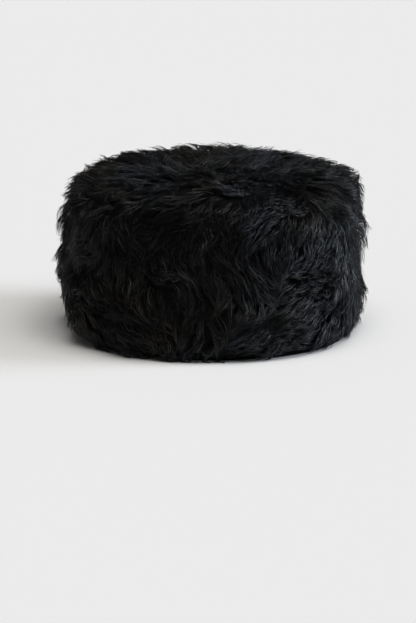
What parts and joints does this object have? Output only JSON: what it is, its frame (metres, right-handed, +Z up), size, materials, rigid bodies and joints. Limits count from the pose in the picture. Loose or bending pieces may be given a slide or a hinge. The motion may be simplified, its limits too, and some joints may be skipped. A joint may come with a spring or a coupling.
{
  "type": "shearling pillbox hat",
  "caption": "Round, flat-topped winter hat of sheepskin with the wool outside: an oval hide wall with a turned-in hem, closed by a hide disc, all in deep wavy black wool.",
  "frame": {"origin": "middle of the head opening, in the plane of the rim that the hat rests on", "axes": "+Z up through the crown, -Y to the wearer's front, +X to the wearer's left ear"},
  "size_m": [0.2198, 0.2374, 0.1198],
  "materials": {
    "suede": "sueded flesh side of a dyed sheepskin, matt, with a short nap",
    "wool": "dyed black sheep's wool, long and wavy, with a soft cool sheen on the curls"
  },
  "bodies": {
    "root": {"side_band_pelt": "suede", "crown_tip_pelt": "suede", "side_band_fleece": "wool", "crown_tip_fleece": "wool"}
  },
  "joints": []
}
